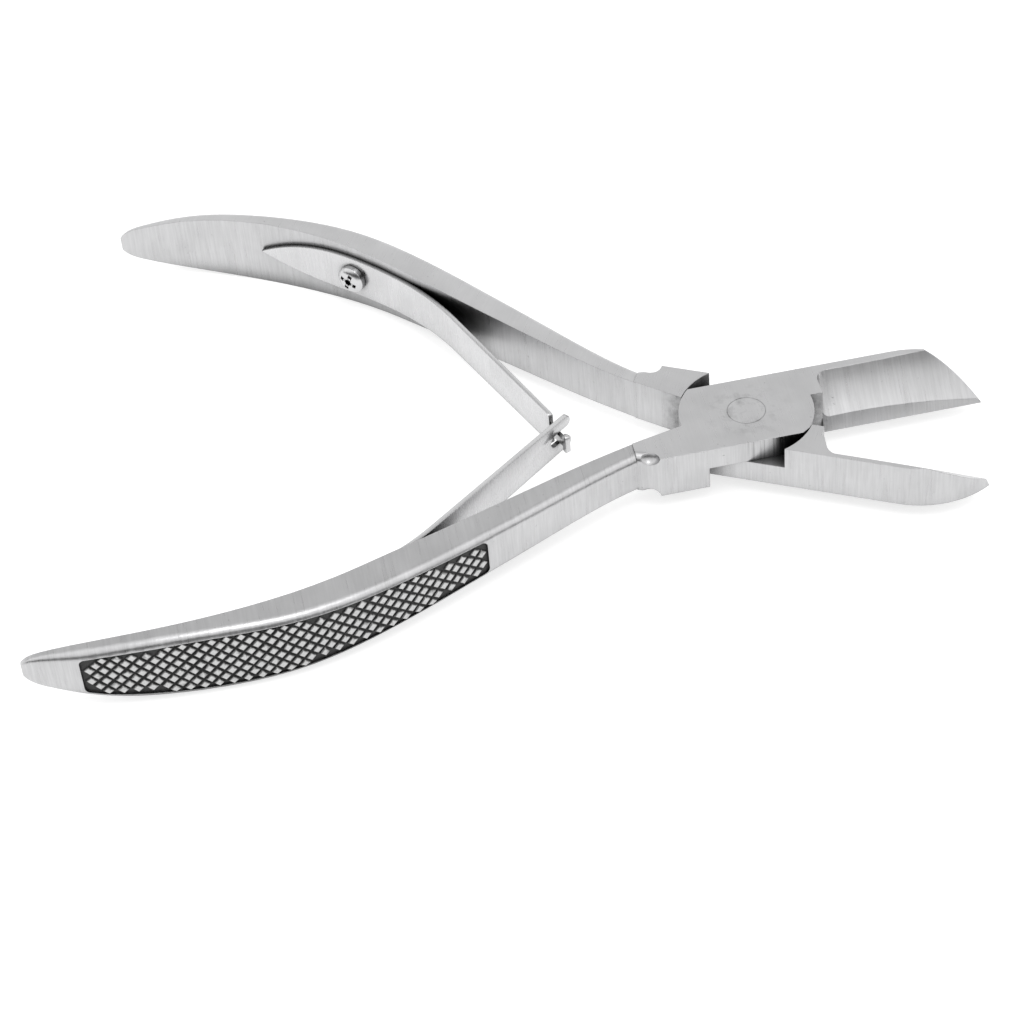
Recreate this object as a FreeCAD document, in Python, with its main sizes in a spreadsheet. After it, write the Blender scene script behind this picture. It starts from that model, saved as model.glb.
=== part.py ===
"""Sprue nippers: two crossed levers on a lap joint, pushed open by two hooked leaf springs.

Lever frame: the pivot axis is Z, the closed lever lies along X with its jaw at +X, and
z = 0 is the middle of the joint. A lever is drawn with its handle at -Y and its jaw at
+Y, which is the front lever; side = -1 mirrors it in Y for the rear one. In the part's
own frame each lever is turned open about the pivot, and z = 0 is the joint's bottom face.
"""
import FreeCAD, Part
import Sketcher
import math
import os

V = FreeCAD.Vector

# name, value in mm or degrees, what it is
SIZES = [
    ("joint_thickness", 7.9, "both lap halves together"),
    ("joint_radius", 10.8, "round ends of the lap plates, about the pivot"),
    ("strip_width", 14.9, "lap plate and joint blocks, across the lever"),
    ("joint_clearance", 0.12, "between a plate's round end and the other lever's block"),
    ("lap_clearance", 0.04, "between the two sliding lap faces"),
    ("open_angle", 14.36, "each lever is turned this far open at rest"),
    ("block_length", 16.05, "pivot to the shoulder where the handle starts"),
    ("block_inner", 0.7, "the block's inner side, from the lever's middle line"),
    ("neck_length", 19.3, "pivot to the narrow neck of the handle"),
    ("neck_overlap", 0.3, "the handle starts this far inside the block"),
    ("plate_corner", 0.9, "cut corner of the lap plate, below the jaw"),
    ("neck_round_end", 0.8, "the neck's round edges stop this far short of the shoulder"),
    ("scoop_radius", 1.8, "small round scoop where they stop"),
    ("scoop_depth", 1.3, "depth of the scoop below the sharp edge"),
    ("scoop_end", 1.6, "middle of the scoop to the shoulder"),
    ("rivet_radius", 2.4, "shank of the pivot rivet"),
    ("rivet_flare", 0.65, "the flush countersunk end stands this far out from the shank"),
    ("rivet_head_depth", 1.1, "depth of the countersink"),
    ("rivet_clearance", 0.04, "running fit of the rear lever on the rivet"),
    ("jaw_length", 39.2, "pivot to the jaw's tip"),
    ("jaw_nose_radius", 15.3, "round back of the jaw's nose"),
    ("edge_gap", 2.05, "lap plate's round end to the heel of the cutting edge"),
    ("edge_clearance", 0.02, "each cutting edge stops this far from the middle"),
    ("jaw_relief", 0.9, "gap behind the cutting edge, each side"),
    ("bevel_width", 0.9, "cutting bevel, across the jaw"),
    ("bevel_height", 2.45, "cutting bevel, upwards"),
    ("front_land", 1.45, "flat top left on the front lever's jaw"),
    ("rear_land", 0.75, "flat top left on the rear lever's jaw"),
    ("nose_cut", 0.25, "small cut along the front lever's nose, where the hollow meets it"),
    ("hollow_radius", 24.0, "radius of the hollow ground face"),
    ("front_sweep", 200.0, "radius on which the front hollow runs down to the tip"),
    ("rear_sweep", 650.0, "radius on which the rear hollow runs down to the tip"),
    ("sweep_place", 5.0, "highest point of that sweep, past the heel"),
    ("hollow_start", 0.4, "closed end of the hollow, behind the heel"),
    ("hollow_runout", 1.7, "radius at that end"),
    ("front_slant", 7.0, "degrees by which that end leans towards the tip, front jaw"),
    ("rear_slant", 22.0, "the same on the rear jaw"),
    ("handle_length", 118.5, "pivot to the handle's end"),
    ("waist_start", 33.0, "pivot to where the handle runs straight"),
    ("waist_depth", 7.2, "inner side at that place, from the middle line"),
    ("waist_angle", 21.3, "slope of the straight stretch before the bow"),
    ("bow_to_end", 52.5, "start of the bow to the handle's end"),
    ("bow_radius", 78.5, "inner side of the handle where it bows"),
    ("end_angle", 11.5, "slope of the straight stretch after the bow"),
    ("handle_height", 13.0, "tallest section of the handle"),
    ("handle_depth", 5.95, "thickest section, across the handle"),
    ("handle_slope", 0.07, "fall of the handle's top to the outer side, in mm for each mm"),
    ("handle_edge_radius", 1.5, "rounding of the handle's outer edges"),
    ("grip_start", 45.6, "pivot to the near end of the knurled panel"),
    ("grip_end", 8.9, "far end of the knurled panel to the handle's end"),
    ("grip_margin", 1.35, "plain border above and below the panel"),
    ("grip_recess", 0.45, "depth of the panel"),
    ("grip_corner", 1.0, "corner radius of the panel"),
    ("spring_thickness", 0.85, "leaf spring strip"),
    ("spring_width", 7.6, "strip at the screw"),
    ("spring_tip_width", 6.3, "strip at its hooked end"),
    ("spring_lift", 0.4, "strip's middle above the joint's middle, at the screw"),
    ("spring_slope", 0.029, "fall of the strip towards its hook, in mm for each mm"),
    ("spring_root", 18.1, "pointed root of the strip, behind the screw"),
    ("spring_bend_radius", 48.7, "bend after the strip leaves the handle"),
    ("spring_bend_angle", 18.0, "turn of that bend"),
    ("spring_flex_angle", 10.0, "share of that turn before the bending line"),
    ("spring_flex_gap", 0.1, "clearance between the two halves at the bending line"),
    ("prong_length", 2.6, "front spring past the crossing"),
    ("tongue_width", 1.5, "neck of the rear spring's tongue"),
    ("notch_play", 0.38, "between the tongue and each of the front spring's prongs"),
    ("notch_length", 5.0, "U notch, back from the prongs' ends"),
    ("hook_width", 3.4, "T head of the tongue"),
    ("hook_length", 1.1, "T head along the strip"),
    ("tongue_play", 1.1, "slack between the rear strip's shoulder and the front strip"),
    ("hook_play", 0.85, "slack between the T head and the front strip"),
    ("screw_place", 8.5, "start of the bow to the spring screw"),
    ("screw_radius", 1.25, "shank of the spring screw"),
    ("screw_head_radius", 2.5, "pan head"),
    ("screw_head_height", 1.7, "pan head"),
    ("screw_length", 3.9, "shank under the head"),
    ("screw_clearance", 0.03, "hole round the shank, and under the rim of the head"),
    ("screw_turn", 36.0, "degrees that the cross recess stands turned"),
    ("recess_span", 3.1, "cross recess, tip to tip"),
    ("recess_slot", 0.75, "cross recess, width of a slot"),
    ("recess_depth", 1.1, "cross recess"),
]

# Handle sections: place as a share of the way from the neck to the handle's end, thickness
# as a share of the thickest section, height as a share of the tallest one.
HANDLE_SECTIONS = [
    (0.000, 0.56, 0.600),
    (0.067, 0.65, 0.605),
    (0.169, 0.80, 0.650),
    (0.313, 0.955, 0.740),
    (0.451, 1.00, 0.852),
    (0.577, 0.86, 0.955),
    (0.679, 0.655, 1.000),
    (0.769, 0.52, 0.972),
    (0.859, 0.46, 0.855),
    (0.918, 0.40, 0.700),
    (0.959, 0.28, 0.545),
    (0.9855, 0.19, 0.390),
    (0.9982, 0.10, 0.200),
]

doc = FreeCAD.newDocument("sprue_nippers")
sheet = doc.addObject("Spreadsheet::Sheet", "Sizes")
for row, (name, value, meaning) in enumerate(SIZES, start=1):
    sheet.set(f"A{row}", name)
    sheet.set(f"B{row}", str(value))
    sheet.set(f"C{row}", meaning)
    sheet.setAlias(f"B{row}", name)
doc.recompute()


def size(name):
    """A driving dimension, read from the sheet."""
    return float(sheet.get(name))


def solid_feature(name, shape):
    """A document object for a shape that is worked out from the sheet."""
    made = doc.addObject("Part::Feature", name)
    made.Shape = shape
    return made


def combined(kind, name, shapes):
    """A Part::MultiFuse or other boolean feature of several objects."""
    made = doc.addObject(kind, name)
    made.Shapes = shapes
    return made


def cut(name, base, tool):
    made = doc.addObject("Part::Cut", name)
    made.Base = base
    made.Tool = tool
    return made


def circle_point(radius, y, side_of_x):
    """The point of a circle about the pivot at height y, on the +X or the -X side."""
    return V(side_of_x * math.sqrt(radius * radius - y * y), y, 0)


def edges_face(edges):
    return Part.Face(Part.Wire(edges))


def arc_through(start, end, radius, centre):
    """The shorter arc about centre from start to end."""
    middle = (start + end) * 0.5 - centre
    middle.normalize()
    return Part.Arc(start, centre + middle * radius, end).toShape()


def line(start, end):
    return Part.LineSegment(start, end).toShape()


# ---------------------------------------------------------------- the handle's plan

class HandlePlan:
    """Inner side of the handle in plan: end line, bow, waist line and a curve to the neck."""

    def __init__(self):
        self.radius = size("bow_radius")
        self.waist_angle = math.radians(size("waist_angle"))
        self.end_angle = math.radians(size("end_angle"))
        self.waist_start = V(-size("waist_start"), -size("waist_depth"), 0)
        bow_x = size("bow_to_end") - size("handle_length")
        bow_y = self.line_y(self.waist_start, self.waist_angle, bow_x)
        self.waist_point = V(bow_x, bow_y, 0)
        lean = V(-math.sin(self.waist_angle), math.cos(self.waist_angle), 0)
        self.centre = self.waist_point + lean * self.radius
        self.end_point = self.on_bow(-self.end_angle)
        self.tip = V(-size("handle_length"), 0, 0)
        self.tip.y = self.line_y(self.end_point, -self.end_angle, self.tip.x)
        self.inner_corner = circle_point(size("joint_radius"), -size("block_inner"), -1)
        self.neck_curve = self.curve_to_neck()

    def on_bow(self, angle):
        """Point of the bow whose tangent slopes by angle."""
        return self.centre + V(math.sin(angle), -math.cos(angle), 0) * self.radius

    @staticmethod
    def line_y(point, angle, x):
        return point.y + (x - point.x) * math.tan(angle)

    def curve_to_neck(self):
        """Smooth curve from the straight waist to the block's inner corner."""
        curve = Part.BSplineCurve()
        along = V(math.cos(self.waist_angle), math.sin(self.waist_angle), 0)
        curve.interpolate(
            Points=[self.waist_start, self.inner_corner],
            InitialTangent=along,
            FinalTangent=V(1, 0.2, 0),
        )
        return curve

    def inner_y(self, x):
        """The inner side at a place along the handle."""
        if x < self.end_point.x:
            return self.line_y(self.end_point, -self.end_angle, x)
        if x < self.waist_point.x:
            return self.centre.y - math.sqrt(self.radius ** 2 - (x - self.centre.x) ** 2)
        if x < self.waist_start.x:
            return self.line_y(self.waist_point, self.waist_angle, x)
        cutter = Part.LineSegment(V(x, -50, 0), V(x, 50, 0))
        met = self.neck_curve.intersect(cutter)
        return met[0].Y

    def inner_edges(self):
        """From the handle's end to the block's inner corner."""
        return [
            line(self.tip, self.end_point),
            arc_through(self.end_point, self.waist_point, self.radius, self.centre),
            line(self.waist_point, self.waist_start),
            self.neck_curve.toShape(),
        ]


PLAN = HandlePlan()


def mirrored(shape, side):
    """The front lever's shape, or its mirror image for the rear lever."""
    if side > 0:
        return shape
    return shape.mirror(V(0, 0, 0), V(0, 1, 0))


def edge_rounding(depth, half):
    """Radius of the handle's outer edges where it is this deep and this high."""
    return min(size("handle_edge_radius"), 0.62 * depth, 0.8 * half)


def section_at(place, depth_share, height_share, grow_in):
    """One section across the handle: flat inner side, rounded outer edges."""
    start = size("neck_length") - size("neck_overlap")
    x = -start - place * (size("handle_length") - start)
    inner = PLAN.inner_y(x)
    depth = depth_share * size("handle_depth")
    half = height_share * size("handle_height") / 2
    rounding = edge_rounding(depth, half)
    outer = inner - depth
    bend = rounding * (1 - math.sqrt(0.5))
    low = half - size("handle_slope") * depth
    a = V(x, inner + grow_in, -half)
    b = V(x, inner + grow_in, half)
    c = V(x, outer + rounding, low)
    d = V(x, outer, low - rounding)
    e = V(x, outer, rounding - low)
    f = V(x, outer + rounding, -low)
    return Part.Wire([
        line(a, b),
        line(b, c),
        Part.Arc(c, V(x, outer + bend, low - bend), d).toShape(),
        line(d, e),
        Part.Arc(e, V(x, outer + bend, bend - low), f).toShape(),
        line(f, a),
    ])


def handle_shape():
    """The handle: lofted sections, trimmed to the exact inner side."""
    spare = 1.0
    far = size("handle_depth") * 3
    sections = [section_at(*row, grow_in=spare) for row in HANDLE_SECTIONS]
    bar = Part.makeLoft(sections, True, False)
    corner = PLAN.inner_corner
    tip = PLAN.tip
    low = PLAN.centre.y - PLAN.radius - far
    trim = edges_face(PLAN.inner_edges() + [
        line(corner, V(corner.x, low, 0)),
        line(V(corner.x, low, 0), V(tip.x, low, 0)),
        line(V(tip.x, low, 0), tip),
    ])
    tall = size("handle_height")
    trim.translate(V(0, 0, -tall))
    return bar.common(trim.extrude(V(0, 0, 2 * tall)))


def grip_recess_shape(handle):
    """Shallow panel sunk into the outer side, which takes the knurling."""
    start = -size("grip_start")
    end = size("grip_end") - size("handle_length")
    deep = size("grip_recess")
    shell = handle.copy()
    shell.translate(V(0, deep, 0))
    steps = 12
    top = []
    bottom = []
    for step in range(steps + 1):
        x = start + (end - start) * step / steps
        half = half_height(x) - size("grip_margin")
        top.append(V(x, 0, half))
        bottom.append(V(x, 0, -half))
    upper = Part.BSplineCurve()
    upper.interpolate(top)
    lower = Part.BSplineCurve()
    lower.interpolate(bottom)
    outline = edges_face([
        upper.toShape(),
        line(top[-1], bottom[-1]),
        lower.toShape(),
        line(bottom[0], top[0]),
    ])
    low = -size("handle_length")
    outline.translate(V(0, low, 0))
    window = outline.extrude(V(0, -low, 0))
    upright = [
        edge for edge in window.Edges
        if abs(edge.Vertexes[0].X - edge.Vertexes[-1].X) < 1e-6
        and abs(edge.Vertexes[0].Z - edge.Vertexes[-1].Z) < 1e-6
    ]
    window = window.makeFillet(size("grip_corner"), upright)
    return handle.cut(shell).common(window)


def half_height(x):
    """Half the handle's height at x, between two listed sections."""
    start = size("neck_length") - size("neck_overlap")
    place = (-x - start) / (size("handle_length") - start)
    rows = HANDLE_SECTIONS
    for (p0, _, h0), (p1, _, h1) in zip(rows, rows[1:]):
        if p0 <= place <= p1:
            share = h0 + (h1 - h0) * (place - p0) / (p1 - p0)
            return share * size("handle_height") / 2
    raise ValueError("place is off the handle")


# ---------------------------------------------------------------- joint and jaw

def neck_corners():
    """Plan corners of the block beside the handle: neck inside, neck outside, shoulder."""
    neck_x = -size("neck_length")
    inner = V(neck_x, PLAN.inner_y(neck_x), 0)
    outer = V(neck_x, inner.y - HANDLE_SECTIONS[0][1] * size("handle_depth"), 0)
    shoulder = V(-size("block_length"), -size("strip_width") / 2, 0)
    return inner, outer, shoulder


def block_edges(radius, wall):
    """The handle's block from the shoulder to the round wall at radius."""
    neck_inner, neck_outer, shoulder = neck_corners()
    low = circle_point(radius, -size("strip_width") / 2, -1)
    high = circle_point(radius, -size("block_inner"), -1)
    edges = [
        line(neck_inner, neck_outer),
        line(neck_outer, shoulder),
        line(shoulder, low),
    ]
    if wall:
        edges.append(arc_through(low, high, radius, V(0, 0, 0)))
        edges.append(line(high, neck_inner))
    return edges, low, high, neck_inner


def neck_cutters():
    """Cutters, top and bottom, that carry the handle's round edge on to a scoop."""
    outer, shoulder = neck_corners()[1:]
    level = size("joint_thickness") / 2
    rounding = edge_rounding(HANDLE_SECTIONS[0][1] * size("handle_depth"), level)
    spare = 1.0
    along = shoulder - outer
    reach = along.Length
    along.normalize()
    outward = V(along.y, -along.x, 0)
    up = V(0, 0, 1)
    middle = outer - outward * rounding + up * (level - rounding)
    begin = middle + up * rounding
    finish = middle + outward * rounding
    profile = edges_face([
        line(begin, begin + up * spare),
        line(begin + up * spare, finish + outward * spare + up * (rounding + spare)),
        line(finish + outward * spare + up * (rounding + spare), finish + outward * spare),
        line(finish + outward * spare, finish),
        Part.Arc(finish, middle + (outward + up) * (rounding * math.sqrt(0.5)), begin).toShape(),
    ])
    profile.translate(along * -reach)
    edge = profile.extrude(along * (2 * reach - size("neck_round_end")))
    far = size("handle_length")
    edge = edge.common(Part.makeBox(far, far, far, V(outer.x, -far, 0)))
    radius = size("scoop_radius")
    offset = (radius - size("scoop_depth")) * math.sqrt(0.5)
    spot = shoulder - along * size("scoop_end") + up * level
    upper = edge.fuse(Part.makeSphere(radius, spot + (outward + up) * offset))
    return upper.fuse(upper.mirror(V(0, 0, 0), up))


def slab(name, face, side, toward, lap_sign):
    """A plan face padded away from the lap, up (toward 1) or down (-1), to the joint's face.

    lap_sign -1 starts half a lap clearance clear of the lap, and 1 starts as far past it."""
    lap = size("lap_clearance") / 2
    flat = mirrored(face, side)
    flat.translate(V(0, 0, -lap_sign * toward * lap))
    plan = solid_feature(name + "_plan", flat)
    pad = doc.addObject("Part::Extrusion", name)
    pad.Base = plan
    pad.DirMode = "Custom"
    pad.Dir = V(0, 0, toward)
    pad.Solid = True
    sign = "+" if lap_sign > 0 else "-"
    pad.setExpression("LengthFwd", f"(Sizes.joint_thickness {sign} Sizes.lap_clearance) / 2")
    return pad


def plate_face():
    """Plan of the half that carries the lap plate: block, plate and jaw root in one."""
    strip = size("strip_width") / 2
    radius = size("joint_radius")
    relief = size("jaw_relief")
    heel = size("joint_radius") + size("edge_gap")
    edges, low, high, neck_inner = block_edges(radius, False)
    corner_cut = size("plate_corner")
    front_end = circle_point(radius, -strip, 1) - V(corner_cut * 0.6, 0, 0)
    right_low = circle_point(radius, corner_cut - strip, 1)
    right_high = circle_point(radius, relief, 1)
    left_high = circle_point(radius, strip, -1)
    heel_in = V(heel, relief, 0)
    heel_out = V(heel, strip, 0)
    return edges_face(edges + [
        line(low, front_end),
        line(front_end, right_low),
        arc_through(right_low, right_high, radius, V(0, 0, 0)),
        line(right_high, heel_in),
        line(heel_in, heel_out),
        line(heel_out, left_high),
        Part.Arc(left_high, V(-radius, 0, 0), high).toShape(),
        line(high, neck_inner),
    ])


def root_faces():
    """Plan of the other half: block and jaw root, clear of the other lever's plate."""
    strip = size("strip_width") / 2
    radius = size("joint_radius") + size("joint_clearance")
    relief = size("jaw_relief")
    heel = size("joint_radius") + size("edge_gap")
    block = edges_face(block_edges(radius, True)[0])
    near = circle_point(radius, relief, 1)
    far = circle_point(radius, strip, 1)
    root = edges_face([
        line(near, V(heel, relief, 0)),
        line(V(heel, relief, 0), V(heel, strip, 0)),
        line(V(heel, strip, 0), far),
        arc_through(far, near, radius, V(0, 0, 0)),
    ])
    return block, root


def jaw_shape(land, nose_cut, sweep, slant):
    """The jaw from the heel of its edge to its tip, with its bevel and hollow ground face."""
    half = size("joint_thickness") / 2
    strip = size("strip_width") / 2
    heel = size("joint_radius") + size("edge_gap")
    gap = size("edge_clearance")
    nose = size("jaw_nose_radius")
    centre_y = strip - nose
    reach = math.sqrt(nose * nose - (gap - centre_y) ** 2)
    centre = V(size("jaw_length") - reach, centre_y, 0)
    back = V(centre.x, strip, 0)
    tip = V(size("jaw_length"), gap, 0)
    start_in = V(heel, gap, 0)
    start_out = V(heel, strip, 0)
    face = edges_face([
        line(start_in, tip),
        arc_through(tip, back, nose, centre),
        line(back, start_out),
        line(start_out, start_in),
    ])
    face.translate(V(0, 0, -half))
    stock = face.extrude(V(0, 0, 2 * half))

    crest_y = gap + size("bevel_width")
    crest_z = -half + size("bevel_height")
    low = V(0, gap, -half)
    crest = V(0, crest_y, crest_z)
    over = crest + (crest - low) * 4
    bevel = edges_face([
        line(low, over),
        line(over, V(0, low.y - strip, over.z)),
        line(V(0, low.y - strip, over.z), V(0, low.y - strip, low.z)),
        line(V(0, low.y - strip, low.z), low),
    ])
    bevel.translate(V(heel - 1, 0, 0))
    stock = stock.cut(bevel.extrude(V(size("jaw_length"), 0, 0)))
    jaw = stock.cut(hollow_shape(crest_y, crest_z, strip - land, half, sweep, slant))
    if not nose_cut:
        return jaw
    rim = [edge for edge in jaw.Edges if on_rim(edge, centre, nose)]
    return jaw.makeChamfer(nose_cut, rim)


def on_rim(edge, centre, nose):
    """Whether an edge is where the hollow meets the upright wall of the nose."""
    first = edge.valueAt(edge.FirstParameter)
    last = edge.valueAt(edge.LastParameter)
    middle = edge.valueAt((edge.FirstParameter + edge.LastParameter) / 2)
    round_wall = all(
        abs(math.hypot(point.x - centre.x, point.y - centre.y) - nose) < 1e-3
        for point in (first, middle, last)
    )
    return round_wall and abs(first.z - last.z) > 0.1 and edge.Length > 3


def hollow_shape(crest_y, crest_z, land_y, land_z, sweep, slant):
    """The wheel that grinds the hollow: a round bar that bends down towards the tip.

    Its closed end leans over, and has a rounded rim."""
    radius = size("hollow_radius")
    heel = size("joint_radius") + size("edge_gap")
    crest = V(0, crest_y, crest_z)
    land = V(0, land_y, land_z)
    chord = land - crest
    away = V(0, -chord.z, chord.y)
    away.normalize()
    centre = (crest + land) * 0.5 + away * math.sqrt(radius ** 2 - (chord.Length / 2) ** 2)
    top = V(heel + size("sweep_place"), centre.y, centre.z - sweep)
    ring = Part.makeTorus(sweep, radius, top, V(0, 1, 0))
    anchor = V(heel - size("hollow_start"), size("jaw_relief"), 0)
    wide = 4 * radius
    keeper = Part.makeBox(wide, wide, wide, V(0, -wide / 2, centre.z - wide / 2))
    keeper.rotate(V(0, 0, 0), V(0, 0, 1), -slant)
    keeper.translate(anchor)
    wheel = ring.common(keeper)
    lean = math.radians(slant)
    across = V(math.cos(lean), -math.sin(lean), 0)
    rim = [edge for edge in wheel.Edges if on_plane(edge, anchor, across)]
    return wheel.makeFillet(size("hollow_runout"), rim)


def on_plane(edge, anchor, across):
    """Whether a curved edge lies in the plane through anchor, square to across."""
    steps = 4
    length = edge.LastParameter - edge.FirstParameter
    points = [edge.valueAt(edge.FirstParameter + length * i / steps) for i in range(steps + 1)]
    return all(abs((point - anchor).dot(across)) < 1e-3 for point in points)


def rivet_profile(clearance):
    """Half section of the rivet, or of the hole it turns in."""
    half = size("joint_thickness") / 2
    shank = size("rivet_radius") + clearance
    head = shank + size("rivet_flare")
    deep = size("rivet_head_depth")
    points = [
        V(0, 0, -half),
        V(head, 0, -half),
        V(shank, 0, -half + deep),
        V(shank, 0, half - deep),
        V(head, 0, half),
        V(0, 0, half),
    ]
    return Part.Face(Part.makePolygon(points + points[:1]))


def rivet_shape(clearance):
    return rivet_profile(clearance).revolve(V(0, 0, 0), V(0, 0, 1), 360)


# ---------------------------------------------------------------- leaf springs

class SpringPlan:
    """Handle side of the strip: on the bow, then a bend, then the straight blade."""

    def __init__(self):
        self.thick = size("spring_thickness")
        self.start_angle = PLAN.waist_angle
        self.bend = size("spring_bend_radius")
        turn = math.radians(size("spring_bend_angle"))
        leave = PLAN.waist_point
        self.centre = leave + self.normal(self.start_angle) * self.bend
        self.end_angle = self.start_angle + turn
        self.flex_angle = self.start_angle + math.radians(size("spring_flex_angle"))
        self.blade_start = self.on_bend(self.end_angle, 0)
        self.blade_along = V(math.cos(self.end_angle), math.sin(self.end_angle), 0)
        self.flex = self.on_bend(self.flex_angle, self.thick / 2)
        self.reach = self.crossing()
        self.screw_x = leave.x - size("screw_place")
        self.root_x = self.screw_x - size("spring_root")

    @staticmethod
    def normal(angle):
        """Away from the handle, where the strip slopes by angle."""
        return V(-math.sin(angle), math.cos(angle), 0)

    def on_bow(self, angle, lift):
        """Point of the seated stretch, lift above the handle's face."""
        return PLAN.centre - self.normal(angle) * (PLAN.radius - lift)

    def on_bend(self, angle, lift):
        return self.centre - self.normal(angle) * (self.bend - lift)

    def crossing(self):
        """Length of straight blade up to the tool's middle plane, with the levers open."""
        opened = math.radians(size("open_angle"))
        start = self.on_blade(0, self.thick / 2)
        height = start.x * math.sin(opened) + start.y * math.cos(opened)
        return -height / math.sin(self.end_angle + opened)

    def on_blade(self, along, lift):
        return self.blade_start + self.blade_along * along + self.normal(self.end_angle) * lift


def stretch(point_at, first, last, thick):
    """Plan face of a curved stretch of strip between two slopes."""
    middle = (first + last) / 2
    return edges_face([
        Part.Arc(point_at(first, 0), point_at(middle, 0), point_at(last, 0)).toShape(),
        line(point_at(last, 0), point_at(last, thick)),
        Part.Arc(point_at(last, thick), point_at(middle, thick), point_at(first, thick)).toShape(),
        line(point_at(first, thick), point_at(first, 0)),
    ])


STRIP = SpringPlan()


def padded(face):
    """Strip stock: a plan face made as tall as the widest strip."""
    tall = size("spring_width") * 2
    face.translate(V(0, 0, -tall / 2))
    return face.extrude(V(0, 0, tall))


def base_shape():
    """Clamped half of a spring: leaf shaped root, screw hole, end at the bending line."""
    width = size("spring_width") / 2
    root_x = STRIP.root_x
    root_angle = math.asin((root_x - PLAN.centre.x) / PLAN.radius)
    seat = padded(stretch(STRIP.on_bow, root_angle, STRIP.start_angle, STRIP.thick))
    gap = (STRIP.thick / 2 + size("spring_flex_gap")) / STRIP.bend
    rise = padded(stretch(STRIP.on_bend, STRIP.start_angle, STRIP.flex_angle - gap, STRIP.thick))
    wide_x = STRIP.screw_x
    end_x = STRIP.flex.x + STRIP.thick
    quarter_x = root_x + (wide_x - root_x) * 0.4
    root = strip_edge(root_x, 0)
    upper = strip_edge(wide_x, width)
    lower = strip_edge(wide_x, -width)
    end_half = strip_half(STRIP.flex.x)
    end_upper = strip_edge(end_x, end_half)
    end_lower = strip_edge(end_x, -end_half)
    outline = edges_face([
        Part.Arc(root, strip_edge(quarter_x, width * 0.72), upper).toShape(),
        line(upper, end_upper),
        line(end_upper, end_lower),
        line(end_lower, lower),
        Part.Arc(lower, strip_edge(quarter_x, -width * 0.72), root).toShape(),
    ])
    window = side_window(outline)
    return seat.fuse(rise).common(window).removeSplitter().cut(screw_hole())


def side_window(outline):
    """A side view outline made into a prism across the whole tool."""
    reach = size("handle_length")
    outline.translate(V(0, -reach, 0))
    return outline.extrude(V(0, 2 * reach, 0))


def strip_edge(x, half):
    """Side view point of the strip: half above its middle line, which falls to the hook."""
    return V(x, 0, half - size("spring_slope") * (x - STRIP.screw_x))


def strip_half(x):
    """Half width of the strip, which tapers evenly from the screw to the crossing."""
    start = STRIP.screw_x
    end = STRIP.on_blade(STRIP.reach, 0).x
    share = (x - start) / (end - start)
    wide = size("spring_width") / 2
    return wide + (size("spring_tip_width") / 2 - wide) * share


def blade_stock(length):
    """Bending half of a spring, from its round heel at the bending line to length."""
    thick = STRIP.thick
    curved = padded(stretch(STRIP.on_bend, STRIP.flex_angle, STRIP.end_angle, thick))
    corners = [
        STRIP.on_blade(0, 0),
        STRIP.on_blade(length, 0),
        STRIP.on_blade(length, thick),
        STRIP.on_blade(0, thick),
    ]
    straight = padded(Part.Face(Part.makePolygon(corners + corners[:1])))
    tall = size("spring_width") * 2
    heel = Part.makeCylinder(thick / 2, tall, STRIP.flex - V(0, 0, tall / 2))
    stock = curved.fuse([straight, heel]).removeSplitter()
    start_x = STRIP.flex.x - thick
    end_x = STRIP.on_blade(length, 0).x + thick
    near = strip_half(start_x)
    far = strip_half(end_x)
    corners = [
        strip_edge(start_x, -near),
        strip_edge(end_x, -far),
        strip_edge(end_x, far),
        strip_edge(start_x, near),
    ]
    outline = Part.Face(Part.makePolygon(corners + corners[:1]))
    return stock.common(side_window(outline))


def blade_tool(from_along, to_along, half_width, round_start=False):
    """A bar through the blade, between two places along it, for cutting or keeping."""
    thick = STRIP.thick
    corners = [
        STRIP.on_blade(from_along, -thick),
        STRIP.on_blade(to_along, -thick),
        STRIP.on_blade(to_along, 2 * thick),
        STRIP.on_blade(from_along, 2 * thick),
    ]
    face = Part.Face(Part.makePolygon(corners + corners[:1]))
    middle = V(0, 0, strip_edge(STRIP.on_blade(STRIP.reach, 0).x, 0).z)
    face.translate(middle - V(0, 0, half_width))
    bar = face.extrude(V(0, 0, 2 * half_width))
    if not round_start:
        return bar
    seat = STRIP.on_blade(from_along, -thick) + middle
    bore = Part.makeCylinder(half_width, 3 * thick, seat, STRIP.normal(STRIP.end_angle))
    return bar.fuse(bore)


def front_blade_shape():
    """Blade whose end is a U notch between two round prongs."""
    end = STRIP.reach + size("prong_length")
    notch_half = size("tongue_width") / 2 + size("notch_play")
    bottom = end - size("notch_length") + notch_half
    notch = blade_tool(bottom, end + size("prong_length"), notch_half, round_start=True)
    blade = blade_stock(end).cut(notch)
    rounding = (strip_half(STRIP.on_blade(end, 0).x) - notch_half) * 0.45
    tips = [
        edge for edge in blade.Edges
        if abs((edge.CenterOfMass - STRIP.blade_start).dot(STRIP.blade_along) - end) < 1e-4
        and abs(edge.Vertexes[0].Z - edge.Vertexes[-1].Z) < 1e-6
    ]
    return blade.makeFillet(rounding, tips)


def rear_blade_shape():
    """Blade whose narrow tongue passes the notch and ends in a T head."""
    shoulder = STRIP.reach - STRIP.thick - size("tongue_play")
    neck_end = STRIP.reach + STRIP.thick + size("hook_play")
    end = neck_end + size("hook_length")
    wide = size("spring_width")
    stock = blade_stock(end)
    sides = blade_tool(shoulder, end + wide, wide)
    neck = blade_tool(shoulder - STRIP.thick, end + wide, size("tongue_width") / 2)
    head = blade_tool(neck_end, end + wide, size("hook_width") / 2)
    return stock.cut(sides.cut(neck.fuse(head)))


# ---------------------------------------------------------------- screws

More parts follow.
